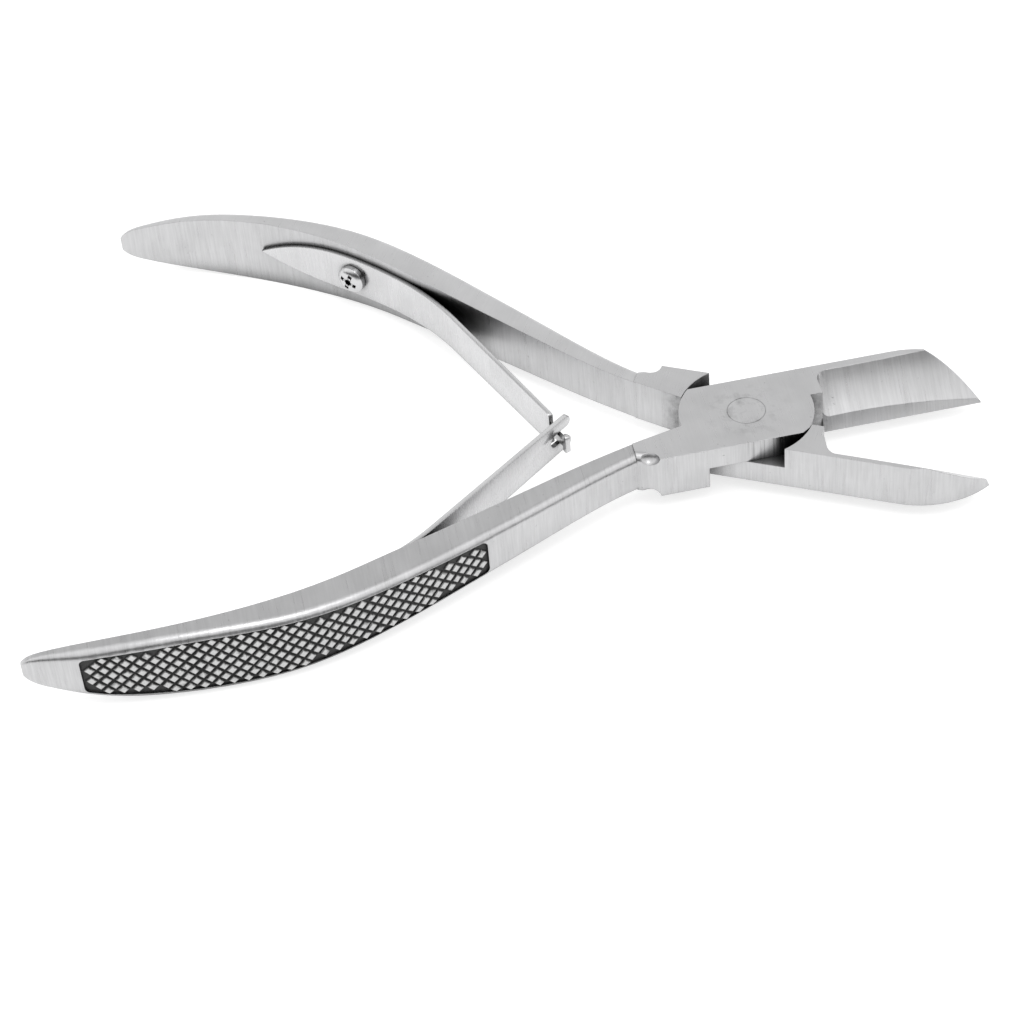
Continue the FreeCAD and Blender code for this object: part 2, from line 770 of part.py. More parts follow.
def screw_axis():
    """Seat of the screw head, clear of the bowed strip, and its direction out of the handle."""
    angle = math.asin((STRIP.screw_x - PLAN.centre.x) / PLAN.radius)
    hollow = PLAN.radius - STRIP.thick
    rise = size("screw_head_radius") ** 2 / (2 * hollow) + size("screw_clearance")
    return STRIP.on_bow(angle, STRIP.thick + rise), STRIP.normal(angle)


def screw_hole():
    seat, out = screw_axis()
    length = size("screw_length") + size("screw_clearance")
    radius = size("screw_radius") + size("screw_clearance")
    return Part.makeCylinder(radius, 2 * length, seat - out * length, out)


def screw_body(name):
    """Pan head screw along +Z, its seat at z = 0, with a cross recess in the head."""
    body = doc.addObject("PartDesign::Body", name)
    head = size("screw_head_radius")
    tall = size("screw_head_height")
    shank = size("screw_radius")
    long = size("screw_length")
    sketch = body.newObject("Sketcher::SketchObject", name + "_profile")
    plane = [f for f in body.Origin.OriginFeatures if f.Role == "XZ_Plane"][0]
    sketch.AttachmentSupport = [(plane, "")]
    sketch.MapMode = "FlatFace"
    side = tall * 0.55
    flat = head * 0.25
    crown = Part.Arc(V(head, side, 0), V(head * 0.72, tall * 0.87, 0), V(flat, tall, 0))
    geometry = [
        Part.LineSegment(V(0, tall, 0), V(0, -long, 0)),
        Part.LineSegment(V(0, -long, 0), V(shank, -long, 0)),
        Part.LineSegment(V(shank, -long, 0), V(shank, 0, 0)),
        Part.LineSegment(V(shank, 0, 0), V(head, 0, 0)),
        Part.LineSegment(V(head, 0, 0), V(head, side, 0)),
        crown,
        Part.LineSegment(V(flat, tall, 0), V(0, tall, 0)),
    ]
    for item in geometry:
        sketch.addGeometry(item)
    sketch.addConstraint([
        Sketcher.Constraint("Coincident", 0, 2, 1, 1),
        Sketcher.Constraint("Coincident", 1, 2, 2, 1),
        Sketcher.Constraint("Coincident", 2, 2, 3, 1),
        Sketcher.Constraint("Coincident", 3, 2, 4, 1),
        Sketcher.Constraint("Vertical", 0),
        Sketcher.Constraint("Horizontal", 1),
        Sketcher.Constraint("Vertical", 2),
        Sketcher.Constraint("Horizontal", 3),
        Sketcher.Constraint("Vertical", 4),
        Sketcher.Constraint("PointOnObject", 0, 1, -2),
        Sketcher.Constraint("PointOnObject", 3, 1, -1),
        Sketcher.Constraint("Coincident", 6, 2, 0, 1),
        Sketcher.Constraint("Horizontal", 6),
    ])
    driven = [
        ("shank", Sketcher.Constraint("DistanceX", -1, 1, 2, 1, shank), "Sizes.screw_radius"),
        ("head", Sketcher.Constraint("DistanceX", -1, 1, 4, 1, head), "Sizes.screw_head_radius"),
        ("long", Sketcher.Constraint("DistanceY", 0, 2, -1, 1, long), "Sizes.screw_length"),
        ("tall", Sketcher.Constraint("DistanceY", -1, 1, 0, 1, tall), "Sizes.screw_head_height"),
    ]
    for label, constraint, expression in driven:
        index = sketch.addConstraint(constraint)
        sketch.renameConstraint(index, label)
        sketch.setExpression("Constraints." + label, expression)
    doc.recompute()
    turned = body.newObject("PartDesign::Revolution", name + "_turned")
    turned.Profile = sketch
    turned.ReferenceAxis = (sketch, ["V_Axis"])
    turned.Angle = 360
    doc.recompute()
    return body


def recess_tool(name, body):
    """Cross recess: two crossing slots pocketed down from the top of the head."""
    sketch = body.newObject("Sketcher::SketchObject", name + "_cross")
    plane = [f for f in body.Origin.OriginFeatures if f.Role == "XY_Plane"][0]
    sketch.AttachmentSupport = [(plane, "")]
    sketch.MapMode = "FlatFace"
    sketch.setExpression("AttachmentOffset.Base.z", "Sizes.screw_head_height")
    far = size("recess_span") / 2
    near = size("recess_slot") / 2
    corners = [
        (far, -near), (far, near), (near, near), (near, far), (-near, far), (-near, near),
        (-far, near), (-far, -near), (-near, -near), (-near, -far), (near, -far), (near, -near),
    ]
    for start, end in zip(corners, corners[1:] + corners[:1]):
        sketch.addGeometry(Part.LineSegment(V(*start, 0), V(*end, 0)))
    count = len(corners)
    for index in range(count):
        other = (index + 1) % count
        sketch.addConstraint(Sketcher.Constraint("Coincident", index, 2, other, 1))
        direction = "Vertical" if index % 2 == 0 else "Horizontal"
        sketch.addConstraint(Sketcher.Constraint(direction, index))
    doc.recompute()
    pocket = body.newObject("PartDesign::Pocket", name + "_recess")
    pocket.Profile = sketch
    pocket.setExpression("Length", "Sizes.recess_depth")
    doc.recompute()


# ---------------------------------------------------------------- the pieces

PIECES = []


def open_placement(side):
    """Turns a lever open about the pivot and sets the joint's bottom face at z = 0."""
    turn = FreeCAD.Rotation(V(0, 0, 1), size("open_angle") * side)
    return FreeCAD.Placement(V(0, 0, size("joint_thickness") / 2), turn)


def keep(made, label, placement):
    made.Label = label
    made.Placement = placement
    PIECES.append(made)


def lever(name, side, jaw):
    """One forged lever: handle, joint block, lap plate, jaw root and jaw."""
    toward = side
    block, root = root_faces()
    lift = V(0, 0, size("spring_lift"))
    handle = handle_shape()
    hole = screw_hole()
    hole.translate(lift)
    handle = handle.cut([grip_recess_shape(handle), hole])
    stock = combined("Part::MultiFuse", name + "_stock", [
        solid_feature(name + "_handle", mirrored(handle, side)),
        solid_feature(name + "_jaw", mirrored(jaw, side)),
        slab(name + "_plate", plate_face(), side, toward, -1),
        slab(name + "_block", block, side, -toward, 1),
        slab(name + "_root", root, side, -toward, 1),
    ])
    stock.Refine = True
    clearance = 0 if side > 0 else size("rivet_clearance")
    hole = solid_feature(name + "_rivet_hole", rivet_shape(clearance))
    neck = solid_feature(name + "_neck_cut", mirrored(neck_cutters(), side))
    necked = cut(name + "_necked", stock, neck)
    keep(cut(name + "_finished", necked, hole), name, open_placement(side))


def spring(name, side, blade):
    """The two halves of one leaf spring, and its screw."""
    lift = FreeCAD.Placement(V(0, 0, size("spring_lift")), FreeCAD.Rotation())
    placement = open_placement(side).multiply(lift)
    for part_name, shape in (("base", base_shape()), ("blade", blade)):
        label = f"{name}_spring_{part_name}"
        keep(solid_feature(label + "_shape", mirrored(shape, side)), label, placement)
    seat, out = screw_axis()
    seat = V(seat.x, seat.y * side, 0)
    out = V(out.x, out.y * side, 0)
    body = screw_body(name + "_screw_body")
    recess_tool(name + "_screw_body", body)
    turn = FreeCAD.Rotation(V(0, 0, 1), size("screw_turn") * side)
    stand = FreeCAD.Placement(seat, FreeCAD.Rotation(V(0, 0, 1), out).multiply(turn))
    keep(body, name + "_spring_screw", placement.multiply(stand))


front_jaw = jaw_shape(
    size("front_land"), size("nose_cut"), size("front_sweep"), size("front_slant")
)
rear_jaw = jaw_shape(size("rear_land"), 0, size("rear_sweep"), size("rear_slant"))
lever("front_lever", 1, front_jaw)
lever("rear_lever", -1, rear_jaw)
keep(solid_feature("rivet_turned", rivet_shape(0)), "pivot_rivet", open_placement(1))
spring("front", 1, front_blade_shape())
spring("rear", -1, rear_blade_shape())
doc.recompute()

for made in doc.Objects:
    if "Invalid" in made.State or "Error" in made.State:
        raise RuntimeError(f"{made.Label} failed: {made.State}")
for piece in PIECES:
    if piece.Shape.isNull() or not piece.Shape.isValid():
        raise RuntimeError(f"{piece.Label} has no valid shape")
    if len(piece.Shape.Solids) != 1:
        raise RuntimeError(f"{piece.Label} is {len(piece.Shape.Solids)} solids")

os.makedirs("parts", exist_ok=True)
for piece in PIECES:
    piece.Shape.exportStep(f"parts/{piece.Label}.step")
    box = piece.Shape.BoundBox
    print(
        f"{piece.Label:22s} volume {piece.Shape.Volume:9.2f}"
        f"  x {box.XMin:8.2f} {box.XMax:8.2f}"
        f"  y {box.YMin:7.2f} {box.YMax:7.2f}  z {box.ZMin:6.2f} {box.ZMax:6.2f}"
    )
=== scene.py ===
"""Sprue nippers: steels, knurled grips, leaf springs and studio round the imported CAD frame.

Lengths are in millimetres in the lever's own frame, where the closed lever lies along X
and its handle runs to -X, and are turned into the row frame by Lever.place()."""
import math

import bmesh
import bpy
from mathutils import Matrix, Vector
from mathutils.bvhtree import BVHTree


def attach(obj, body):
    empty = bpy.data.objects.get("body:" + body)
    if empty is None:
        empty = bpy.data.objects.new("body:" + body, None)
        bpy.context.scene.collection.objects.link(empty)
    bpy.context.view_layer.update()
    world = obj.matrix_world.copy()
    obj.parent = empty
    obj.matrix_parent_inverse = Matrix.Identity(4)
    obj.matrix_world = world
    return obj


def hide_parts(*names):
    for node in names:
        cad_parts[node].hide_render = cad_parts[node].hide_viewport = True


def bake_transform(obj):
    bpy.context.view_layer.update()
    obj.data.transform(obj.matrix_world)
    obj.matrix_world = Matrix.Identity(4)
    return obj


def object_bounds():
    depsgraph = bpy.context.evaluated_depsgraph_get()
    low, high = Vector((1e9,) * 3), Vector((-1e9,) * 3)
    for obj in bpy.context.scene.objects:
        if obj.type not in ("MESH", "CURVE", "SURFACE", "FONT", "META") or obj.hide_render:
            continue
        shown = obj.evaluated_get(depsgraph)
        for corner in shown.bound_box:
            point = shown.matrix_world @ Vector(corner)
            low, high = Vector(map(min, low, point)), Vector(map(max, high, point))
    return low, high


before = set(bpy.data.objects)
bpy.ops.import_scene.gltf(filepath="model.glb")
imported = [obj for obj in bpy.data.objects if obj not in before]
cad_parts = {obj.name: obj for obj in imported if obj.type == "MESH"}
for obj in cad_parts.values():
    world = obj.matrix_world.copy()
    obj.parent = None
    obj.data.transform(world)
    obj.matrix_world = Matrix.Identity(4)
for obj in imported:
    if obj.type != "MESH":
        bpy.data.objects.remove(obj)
cad_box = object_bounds()

MM = 0.001
OPEN_ANGLE = math.radians(14.36)
JOINT_MIDDLE = 3.95
PLATE_RADIUS = 10.8
STRIP_HALF = 7.45
RIVET_RING = 3.05


# ---------------------------------------------------------------- node material kit

class Nodes:
    """Builds a node tree: each call adds a node and links or sets its inputs."""

    def __init__(self, tree):
        self.tree = tree
        self.tree.nodes.clear()

    def add(self, kind, inputs=None, **settings):
        node = self.tree.nodes.new(kind)
        for key, value in settings.items():
            setattr(node, key, value)
        for key, value in (inputs or {}).items():
            self.feed(node.inputs[key], value)
        return node

    def feed(self, socket, value):
        if isinstance(value, bpy.types.NodeSocket):
            self.tree.links.new(value, socket)
        elif isinstance(value, bpy.types.Node):
            self.tree.links.new(value.outputs[0], socket)
        else:
            socket.default_value = value

    def math(self, operation, a, b=0.0, clamp=False):
        node = self.add("ShaderNodeMath", {0: a, 1: b}, operation=operation)
        node.use_clamp = clamp
        return node

    def mix(self, share, low, high):
        node = self.add("ShaderNodeMix", data_type="RGBA")
        self.feed(node.inputs[0], share)
        self.feed(node.inputs[6], low)
        self.feed(node.inputs[7], high)
        return node.outputs[2]

    def range(self, value, low, high, to_low, to_high, smooth=False):
        node = self.add("ShaderNodeMapRange", {
            0: value, 1: low, 2: high, 3: to_low, 4: to_high,
        })
        if smooth:
            node.interpolation_type = "SMOOTHSTEP"
        return node

    def noise(self, vector, scale, detail=2.0, rough=0.5):
        node = self.add("ShaderNodeTexNoise", {
            "Vector": vector, "Scale": scale, "Detail": detail, "Roughness": rough,
        })
        return node.outputs["Fac"]

    def scaled(self, vector, x, y, z):
        return self.add("ShaderNodeVectorMath", {0: vector, 1: (x, y, z)}, operation="MULTIPLY")

    def product(self, *values):
        made = values[0]
        for value in values[1:]:
            made = self.math("MULTIPLY", made, value)
        return made

    def from_pivot(self, coords):
        """Distance from the pivot's axis."""
        flat = self.scaled(coords, 1, 1, 0)
        return self.add("ShaderNodeVectorMath", {0: flat}, operation="LENGTH").outputs["Value"]


def grey(level):
    return (level, level, level, 1)


def new_material(name):
    material = bpy.data.materials.new(name)
    material.use_nodes = True
    return material, Nodes(material.node_tree)


def steel(name, level=0.55, rough=0.3, turn=0.0, marks=1.0, pits=1.0, joint=False):
    """Ground steel: marks across the lever, faint patches, pits and painted shade in the corners.

    level is the steel's reflectance, marks and pits are strengths, and turn is the lever's angle."""
    fine_marks = (3300, 150, 150)
    broad_marks = (1100, 90, 90)
    shade_reach = 4.5 * MM
    edge_rounding = 0.16 * MM
    mark_depth = 0.03 * MM
    blue_tint = 1.01
    material, kit = new_material(name)
    coords = kit.add("ShaderNodeTexCoord").outputs["Object"]
    along = kit.add("ShaderNodeVectorRotate", {
        "Vector": coords, "Axis": (0, 0, 1), "Angle": -turn,
    })
    fine = kit.noise(kit.scaled(along, *fine_marks), 1.0, 3.0, 0.6)
    broad = kit.noise(kit.scaled(along, *broad_marks), 1.0, 2.0, 0.5)
    patch = kit.noise(along, 130, 3.0, 0.55)
    speck = kit.noise(along, 1500, 2.0, 0.6)
    lines = kit.math("ADD", kit.product(fine, 0.7), kit.product(broad, 0.3))
    facing = kit.add("ShaderNodeNewGeometry").outputs["Normal"]
    flat = kit.math("ABSOLUTE", kit.add("ShaderNodeSeparateXYZ", {0: facing}).outputs["Z"])
    depth = kit.range(flat, 0.9, 0.999, marks, marks * 0.35)
    swing = kit.product(kit.range(lines, 0.3, 0.7, -0.13, 0.09), depth)
    tone = kit.product(kit.math("ADD", swing, 1.0), level)
    tone = kit.product(tone, kit.range(patch, 0.3, 0.7, 0.93, 1.04))
    pit_share = kit.product(
        kit.range(speck, 0.69, 0.75, 0.0, 0.6),
        kit.range(kit.noise(along, 210, 1.0), 0.5, 0.68, 0.0, pits),
    )
    # painted shade: ambient occlusion darkens the steel's colour in corners, crevices and recesses
    cavity = kit.add("ShaderNodeAmbientOcclusion", {"Distance": shade_reach}, samples=6)
    crevice_shade = kit.math("POWER", cavity.outputs["AO"], 1.8)
    tone = kit.product(tone, kit.range(crevice_shade, 0.08, 0.75, 0.08, 1.0))
    rounded = kit.add("ShaderNodeBevel", {"Radius": edge_rounding}, samples=4)
    if joint:
        tone = rivet_marks(kit, coords, tone)
        tone = joint_marks(kit, along, flat, tone)
    colour = kit.add("ShaderNodeCombineColor", {0: tone, 1: tone, 2: kit.product(tone, blue_tint)})
    colour = kit.mix(pit_share, colour.outputs[0], grey(0.14))
    grain = kit.add("ShaderNodeBump", {
        "Strength": kit.product(depth, 0.30), "Distance": mark_depth, "Height": lines,
        "Normal": rounded,
    })
    kit.add("ShaderNodeOutputMaterial", {"Surface": kit.add("ShaderNodeBsdfPrincipled", {
        "Base Color": colour,
        "Metallic": 1.0,
        "Roughness": kit.range(lines, 0.3, 0.7, rough - 0.05, rough + 0.07),
        "Normal": grain,
    })})
    return material


def rivet_marks(kit, coords, tone):
    """The faint ring where the rivet is ground flush, with smudges round it."""
    line_core = 0.03 * MM
    line_edge = 0.13 * MM
    smudge_inside = 2.0 * MM
    smudge_outside = 8.5 * MM
    away = kit.from_pivot(coords)
    off = kit.math("ABSOLUTE", kit.math("SUBTRACT", away, RIVET_RING * MM))
    broken = kit.range(kit.noise(coords, 420, 2.0), 0.35, 0.6, 0.08, 0.42)
    ring = kit.product(kit.range(off, line_core, line_edge, 1.0, 0.0), broken)
    smudge = kit.product(
        kit.range(away, smudge_inside, smudge_outside, 0.30, 0.0, True),
        kit.range(kit.noise(coords, 520, 4.0, 0.7), 0.5, 0.72, 0.0, 1.0),
    )
    keep = kit.math("SUBTRACT", 1.0, kit.math("ADD", ring, smudge), True)
    return kit.product(tone, keep)


def joint_marks(kit, along, flat, tone):
    """Painted shade on the upright inner sides next to the joint, and chatter on the upper plate's front
    side.
    """
    shade_outside = 15.5 * MM
    shade_width = 6.4 * MM
    blend = 0.4 * MM
    chatter_middle = 3.5 * MM
    chatter_half = 4.0 * MM
    chatter_fade = 6.5 * MM
    chatter_pitch = (3400, 40, 90)
    side = (STRIP_HALF - 0.15) * MM
    away = kit.from_pivot(along)
    upright = kit.range(flat, 0.3, 0.7, 1.0, 0.0)
    # painted shade: upright sides between the two levers beside the joint are darkened, broken up by
    # noise
    worn = kit.product(
        kit.range(away, PLATE_RADIUS * MM, shade_outside, 0.55, 0.0, True),
        kit.range(kit.noise(along, 620, 4.0, 0.7), 0.36, 0.66, 0.25, 1.0),
    )
    parts = kit.add("ShaderNodeSeparateXYZ", {0: along})
    across = kit.math("ABSOLUTE", parts.outputs["Y"])
    worn = kit.product(worn, kit.range(across, shade_width, shade_width + blend, 1.0, 0.0))
    from_middle = kit.math("ABSOLUTE", kit.math("SUBTRACT", parts.outputs["X"], chatter_middle))
    inside = kit.range(from_middle, chatter_half, chatter_fade, 0.34, 0.0)
    teeth = kit.noise(kit.scaled(along, *chatter_pitch), 1.0, 2.0, 0.6)
    middle = JOINT_MIDDLE * MM
    outside = kit.product(
        kit.range(parts.outputs["Y"], -side, -side - 0.1 * MM, 0.0, 1.0),
        kit.range(parts.outputs["Z"], middle - 0.05 * MM, middle, 0.0, 1.0),
    )
    chatter = kit.product(inside, kit.range(teeth, 0.49, 0.60, 0.0, 1.0), outside)
    share = kit.product(upright, kit.math("ADD", worn, chatter))
    return kit.product(tone, kit.math("SUBTRACT", 1.0, share, True))


def knurl_material(name):
    """Blackened grooves; the flat tops are worn back to bright steel."""
    material, kit = new_material(name)
    height = kit.add("ShaderNodeAttribute", attribute_name="worn").outputs["Fac"]
    coords = kit.add("ShaderNodeTexCoord").outputs["Object"]
    blotch = kit.noise(coords, 900, 3.0, 0.65)
    fine = kit.noise(coords, 4200, 2.0, 0.6)
    worn = kit.math("ADD", height, kit.range(blotch, 0.3, 0.7, -0.30, 0.22))
    share = kit.range(worn, 0.55, 0.95, 0.0, 1.0)
    bright = kit.mix(fine, grey(0.40), grey(0.68))
    dark = kit.mix(fine, grey(0.018), grey(0.07))
    kit.add("ShaderNodeOutputMaterial", {"Surface": kit.add("ShaderNodeBsdfPrincipled", {
        "Base Color": kit.mix(share, dark, bright),
        "Metallic": kit.range(share, 0.0, 1.0, 0.55, 1.0),
        "Roughness": kit.range(share, 0.0, 1.0, 0.55, 0.30),
        "Normal": kit.add("ShaderNodeBump", {
            "Strength": 0.3, "Distance": 0.03 * MM, "Height": blotch,
        }),
    })})
    return material


# ---------------------------------------------------------------- levers and springs

class Lever:
    """One lever's frame: side 1 is the front lever, -1 its mirror image at the rear."""

    def __init__(self, name, side):
        self.name = name
        self.side = side
        self.turn = OPEN_ANGLE * side
        self.turned = Matrix.Rotation(self.turn, 3, "Z")

    def place(self, x, y, z):
        """Lever frame millimetres to row frame metres; z is from the joint's middle."""
        spot = self.turned @ Vector((x, y * self.side, 0))
        return Vector((spot.x, spot.y, z + JOINT_MIDDLE)) * MM

    def direction(self, x, y, z):
        spot = self.turned @ Vector((x, y * self.side, 0))
        return Vector((spot.x, spot.y, z)).normalized()


FRONT = Lever("front", 1)
REAR = Lever("rear", -1)


class Strip:
    """The leaf spring's middle plane, followed by the length s from the start of the bow."""

    thick = 0.85
    width = 3.8
    tip_width = 3.15
    lift = 0.4
    slope = 0.029
    leaf_power = 2.49
    waist_start = 33.0
    waist_depth = 7.2
    waist_angle = math.radians(21.3)
    bow_start = 66.0
    bow_radius = 78.5
    bend_radius = 48.7
    bend = math.radians(18.0)
    flex = math.radians(10.0)
    screw_back = 8.5
    root_back = 18.1
    waist = Vector((-bow_start, -waist_depth - (bow_start - waist_start) * math.tan(waist_angle)))

    def __init__(self):
        self.bend_length = self.bend * self.bend_radius
        self.flex_length = self.flex * self.bend_radius
        up = self.normal(self.waist_angle)
        self.bow_centre = self.waist + up * self.bow_radius
        self.bend_centre = self.waist + up * self.bend_radius
        self.blade_angle = self.waist_angle + self.bend
        start = self.at(self.bend_length, self.thick / 2)
        height = start.x * math.sin(OPEN_ANGLE) + start.y * math.cos(OPEN_ANGLE)
        self.crossing = self.bend_length - height / math.sin(self.blade_angle + OPEN_ANGLE)
        self.screw_x = self.waist.x - self.screw_back
        self.screw_s = self.bow_length(self.screw_x)
        self.root_s = self.bow_length(self.screw_x - self.root_back)

    @staticmethod
    def normal(angle):
        return Vector((-math.sin(angle), math.cos(angle)))

    def bow_length(self, x):
        """Length s of the bow's point at x."""
        angle = math.asin((x - self.bow_centre.x) / self.bow_radius)
        return (angle - self.waist_angle) * self.bow_radius

    def at(self, s, lift):
        """Plan point at length s, lift above the handle's side of the strip."""
        if s < 0:
            angle = self.waist_angle + s / self.bow_radius
            return self.bow_centre - self.normal(angle) * (self.bow_radius - lift)
        bent = min(s, self.bend_length)
        angle = self.waist_angle + bent / self.bend_radius
        spot = self.bend_centre - self.normal(angle) * (self.bend_radius - lift)
        along = Vector((math.cos(angle), math.sin(angle)))
        return spot + along * (s - bent)

    def half(self, s):
        """Half width: a pointed leaf behind the screw, then an even taper."""
        if s < self.screw_s:
            share = (s - self.root_s) / (self.screw_s - self.root_s)
            return self.width * (1 - (1 - share) ** self.leaf_power)
        share = (s - self.screw_s) / (self.crossing - self.screw_s)
        return self.width + (self.tip_width - self.width) * share

    def middle_z(self, x):
        return self.lift - self.slope * (x - self.screw_x)


STRIP = Strip()
# the hook between the strips' free ends: U notch in the front one, tongue and T head at the rear
PRONG = 2.6
NOTCH_LENGTH = 5.0
TONGUE_HALF = 0.75
NOTCH_HALF = 1.13
TONGUE_PLAY = 1.1
HOOK_PLAY = 0.85
HOOK_HALF = 1.7
HOOK_LENGTH = 1.1


def corner(centre, radius, first, last, steps=6):
    """Points of an arc in the flat pattern, from the first to the last angle in degrees."""
    points = []
    for step in range(steps + 1):
        angle = math.radians(first + (last - first) * step / steps)
        points.append((centre[0] + radius * math.cos(angle), centre[1] + radius * math.sin(angle)))
    return points


def upper_side(last_s):
    """Upper outline of the flat strip from its root to last_s."""
    points = []
    steps = 16
    crowding = 1.6
    for step in range(1, steps + 1):
        s = STRIP.root_s + (STRIP.screw_s - STRIP.root_s) * (step / steps) ** crowding
        points.append((s, STRIP.half(s)))
    points.append((last_s, STRIP.half(last_s)))
    return points


def front_pattern():
    """Flat outline that ends in a U notch between two round prongs."""
    end = STRIP.crossing + PRONG
    half = STRIP.half(end)
    roundness = 0.48
    ball = (half - NOTCH_HALF) * roundness
    upper = upper_side(end - ball)
    upper += corner((end - ball, half - ball), ball, 90, 0)[1:]
    upper += corner((end - ball, NOTCH_HALF + ball), ball, 0, -90)
    bottom = end - NOTCH_LENGTH + NOTCH_HALF
    upper += corner((bottom, 0), NOTCH_HALF, 90, 180)[:-1]
    notch_end = [(bottom - NOTCH_HALF, 0.0)]
    lower = [(s, -z) for s, z in reversed(upper)]
    return [(STRIP.root_s, 0.0)] + upper + notch_end + lower


def rear_pattern():
    """Flat outline that ends in a narrow tongue with a T head."""
    shoulder = STRIP.crossing - STRIP.thick - TONGUE_PLAY
    neck_end = STRIP.crossing + STRIP.thick + HOOK_PLAY
    end = neck_end + HOOK_LENGTH
    half = STRIP.half(shoulder)
    ball = 0.5
    root_cut = 0.4
    near_ball = 0.35
    far_ball = 0.45
    upper = upper_side(shoulder - ball)
    upper += corner((shoulder - ball, half - ball), ball, 90, 0)[1:]
    upper += [(shoulder, TONGUE_HALF + root_cut), (shoulder + root_cut, TONGUE_HALF)]
    upper += [(neck_end, TONGUE_HALF)]
    upper += corner((neck_end + near_ball, HOOK_HALF - near_ball), near_ball, 180, 90)
    upper += corner((end - far_ball, HOOK_HALF - far_ball), far_ball, 90, 0)
    lower = [(s, -z) for s, z in reversed(upper)]
    return [(STRIP.root_s, 0.0)] + upper + lower


def finish_mesh(bm, name, material, sharp=0.6):
    """Object from a bmesh, smooth shaded apart from edges that turn by more than sharp."""
    bmesh.ops.recalc_face_normals(bm, faces=bm.faces)
    for face in bm.faces:
        face.smooth = True
    for edge in bm.edges:
        if len(edge.link_faces) == 2 and edge.calc_face_angle() > sharp:
            edge.smooth = False
    mesh = bpy.data.meshes.new(name)
    bm.to_mesh(mesh)
    bm.free()
    mesh.materials.append(material)
    made = bpy.data.objects.new(name, mesh)
    bpy.context.scene.collection.objects.link(made)
    return made


def leaf_spring(lever, pattern, material):
    """One strip cut flat, given its thickness and soft edges, then bent along its path."""
    bm = bmesh.new()
    rounding = 0.1
    slice_length = 0.8
    reach = 5.0
    verts = [bm.verts.new((s, 0, z)) for s, z in pattern]
    sheet = bm.faces.new(verts)
    pulled = bmesh.ops.extrude_face_region(bm, geom=[sheet])
    top = [item for item in pulled["geom"] if isinstance(item, bmesh.types.BMVert)]
    bmesh.ops.translate(bm, verts=top, vec=(0, STRIP.thick, 0))
    rims = [edge for edge in bm.edges if abs(edge.verts[0].co.y - edge.verts[1].co.y) < 1e-6]
    bmesh.ops.bevel(
        bm, geom=rims, offset=rounding, segments=2, profile=0.5, affect="EDGES", clamp_overlap=True
    )
    station = STRIP.root_s + slice_length
    while station < STRIP.bend_length + 1:
        everything = bm.verts[:] + bm.edges[:] + bm.faces[:]
        bmesh.ops.bisect_plane(
            bm, geom=everything, dist=1e-5, plane_co=(station, 0, 0), plane_no=(1, 0, 0)
        )
        station += slice_length
    for vert in bm.verts:
        s, lift, z = vert.co
        spot = STRIP.at(s, lift)
        vert.co = lever.place(spot.x, spot.y, z + STRIP.middle_z(spot.x))
    made = finish_mesh(bm, lever.name + "_leaf_spring", material)
    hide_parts(lever.name + "_spring_base", lever.name + "_spring_blade")
    for s in (STRIP.flex_length - reach, STRIP.flex_length + reach):
        spot = STRIP.at(s, STRIP.thick / 2)
        lever.place(spot.x, spot.y, STRIP.lift)
    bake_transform(made)


# ---------------------------------------------------------------- knurled grips

HANDLE_LENGTH = 118.5
GRIP_START = 45.6
GRIP_END = HANDLE_LENGTH - 8.9
GRIP_MARGIN = 1.35
NECK = 19.0
TALLEST_HALF = 6.5
# place along the handle as a share of its length past the neck, and share of its height
HEIGHTS = [
    (0.169, 0.650), (0.313, 0.740), (0.451, 0.852), (0.577, 0.955), (0.679, 1.000),
    (0.769, 0.972), (0.859, 0.855), (0.918, 0.700),
]
GRIP_CORNER = 1.0
KNURL_PITCH = 2.2
KNURL_ROW = 1.1
# each tooth from its foot to its worn top: width as a share of the pitch, and height
TOOTH = [(0.98, -0.05), (0.84, 0.16), (0.56, 0.40), (0.30, 0.44)]
WORN_HEIGHT = 0.40


def panel_half(along):
    """Half height of the sunk panel at a distance along from the pivot."""
    share = (along - NECK) / (HANDLE_LENGTH - NECK)
    for (p0, h0), (p1, h1) in zip(HEIGHTS, HEIGHTS[1:]):
        if share <= p1:
            break
    height = h0 + (h1 - h0) * (share - p0) / (p1 - p0)
    half = height * TALLEST_HALF - GRIP_MARGIN
    ends = min(along - GRIP_START, GRIP_END - along)
    if ends < GRIP_CORNER:
        half -= GRIP_CORNER - math.sqrt(max(0.0, GRIP_CORNER ** 2 - (GRIP_CORNER - ends) ** 2))
    return half


class Panel:
    """The sunk panel of one CAD lever, found by casting rays on to its outer side."""

    def __init__(self, lever):
        self.lever = lever
        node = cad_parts[lever.name + "_lever"]
        mesh = node.data
        corners = [vert.co.copy() for vert in mesh.vertices]
        self.tree = BVHTree.FromPolygons(corners, [list(face.vertices) for face in mesh.polygons])
        self.inward = lever.direction(0, 1, 0)

    def at(self, along, z, height):
        """Row frame point at this height above the panel's floor."""
        far_outside = -60.0
        start = self.lever.place(-along, far_outside, z)
        hit = self.tree.ray_cast(start, self.inward)[0]
        return hit - self.inward * (height * MM)


